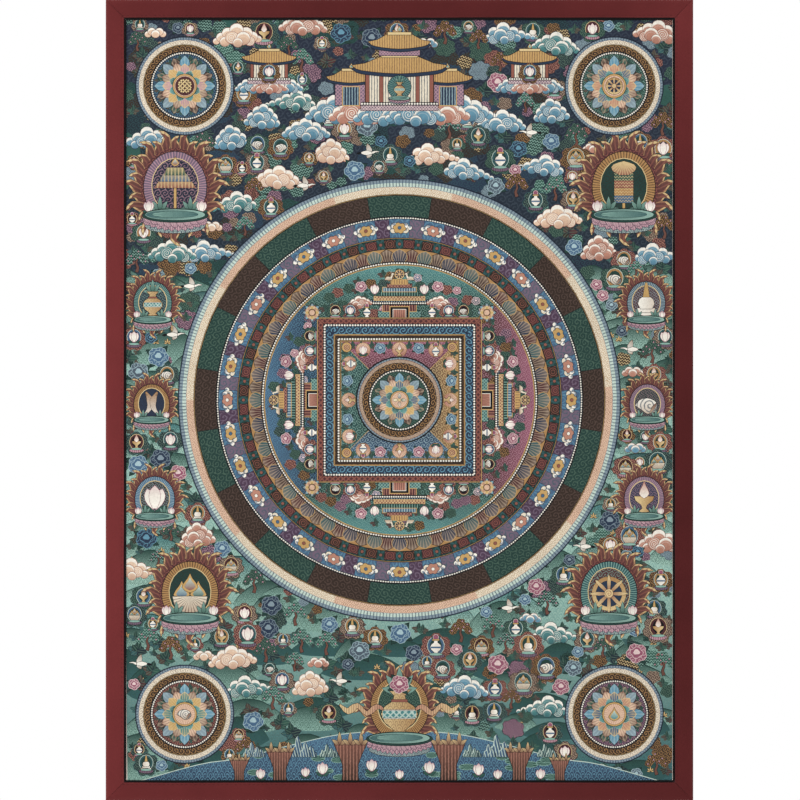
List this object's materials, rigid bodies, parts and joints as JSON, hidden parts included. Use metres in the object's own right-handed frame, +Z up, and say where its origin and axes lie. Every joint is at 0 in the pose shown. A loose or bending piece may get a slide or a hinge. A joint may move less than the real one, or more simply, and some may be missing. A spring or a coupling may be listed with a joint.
{
  "type": "thangka scroll painting",
  "caption": "Upright rectangular wall hanging: a painted cotton canvas with a narrow folded cloth binding and a thin braid inside it, hung flat by its top edge.",
  "frame": {"origin": "middle of the top edge, where the hanging is held", "axes": "+Z up along the hanging's height, +X to the right seen from the front, the painted face looks towards -Y"},
  "size_m": [0.55, 0.0067, 0.75],
  "materials": {
    "painted_cotton": "matt mineral paint on primed cotton canvas, with touches of gold",
    "red_cloth": "plain woven dark red cotton, matt",
    "black_braid": "narrow woven black braid, matt"
  },
  "bodies": {
    "root": {"painted_canvas": "painted_cotton", "binding_top": "red_cloth", "binding_bottom": "red_cloth", "binding_left": "red_cloth", "binding_right": "red_cloth", "braid_top": "black_braid", "braid_bottom": "black_braid", "braid_left": "black_braid", "braid_right": "black_braid"}
  },
  "joints": []
}
